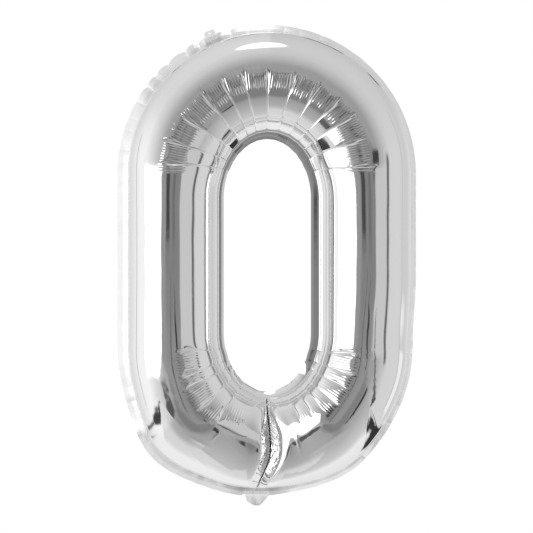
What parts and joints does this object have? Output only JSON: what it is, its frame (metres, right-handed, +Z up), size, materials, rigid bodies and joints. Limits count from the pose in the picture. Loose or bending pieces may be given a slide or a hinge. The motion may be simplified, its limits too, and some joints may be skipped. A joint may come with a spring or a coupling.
{
  "type": "foil number balloon",
  "caption": "Silver foil number balloon in the shape of a zero: an inflated ring tube with welded margins, a divider seam, a folding filling tail and a folding hanging tab.",
  "frame": {"origin": "middle of the bounding box at its lowest point, the tip of the filling tail, with the weld plane at y = 0", "axes": "+Z up the figure, +X to the right as seen from the front, front of the figure facing -Y"},
  "size_m": [0.546, 0.166, 0.8789],
  "materials": {
    "silver_film": "mirror-bright metallised film, smooth where taut, finely puckered inside the bends",
    "silver_film_tail": "the same film, flat and lightly crinkled",
    "valve_film": "thin clear plastic film, slightly milky"
  },
  "bodies": {
    "balloon": {"front_panel": "silver_film", "back_panel": "silver_film", "valve_front_film": "valve_film", "valve_back_film": "valve_film"},
    "fill_tail": {"fill_tail_front": "silver_film_tail", "fill_tail_back": "silver_film_tail"},
    "hang_tab": {"hang_tab_front": "silver_film_tail", "hang_tab_back": "silver_film_tail"}
  },
  "joints": [
    {"name": "fill_tail_fold", "type": "hinge", "parent": "balloon", "child": "fill_tail", "pos_m": [-0.017, 0, 0.0212], "axis": [1, 0, 0], "range_deg": [-75, 75]},
    {"name": "hang_tab_fold", "type": "hinge", "parent": "balloon", "child": "hang_tab", "pos_m": [-0.10159, 0, 0.85745], "axis": [0.9272, 0, 0.3746], "range_deg": [-75, 75]}
  ]
}
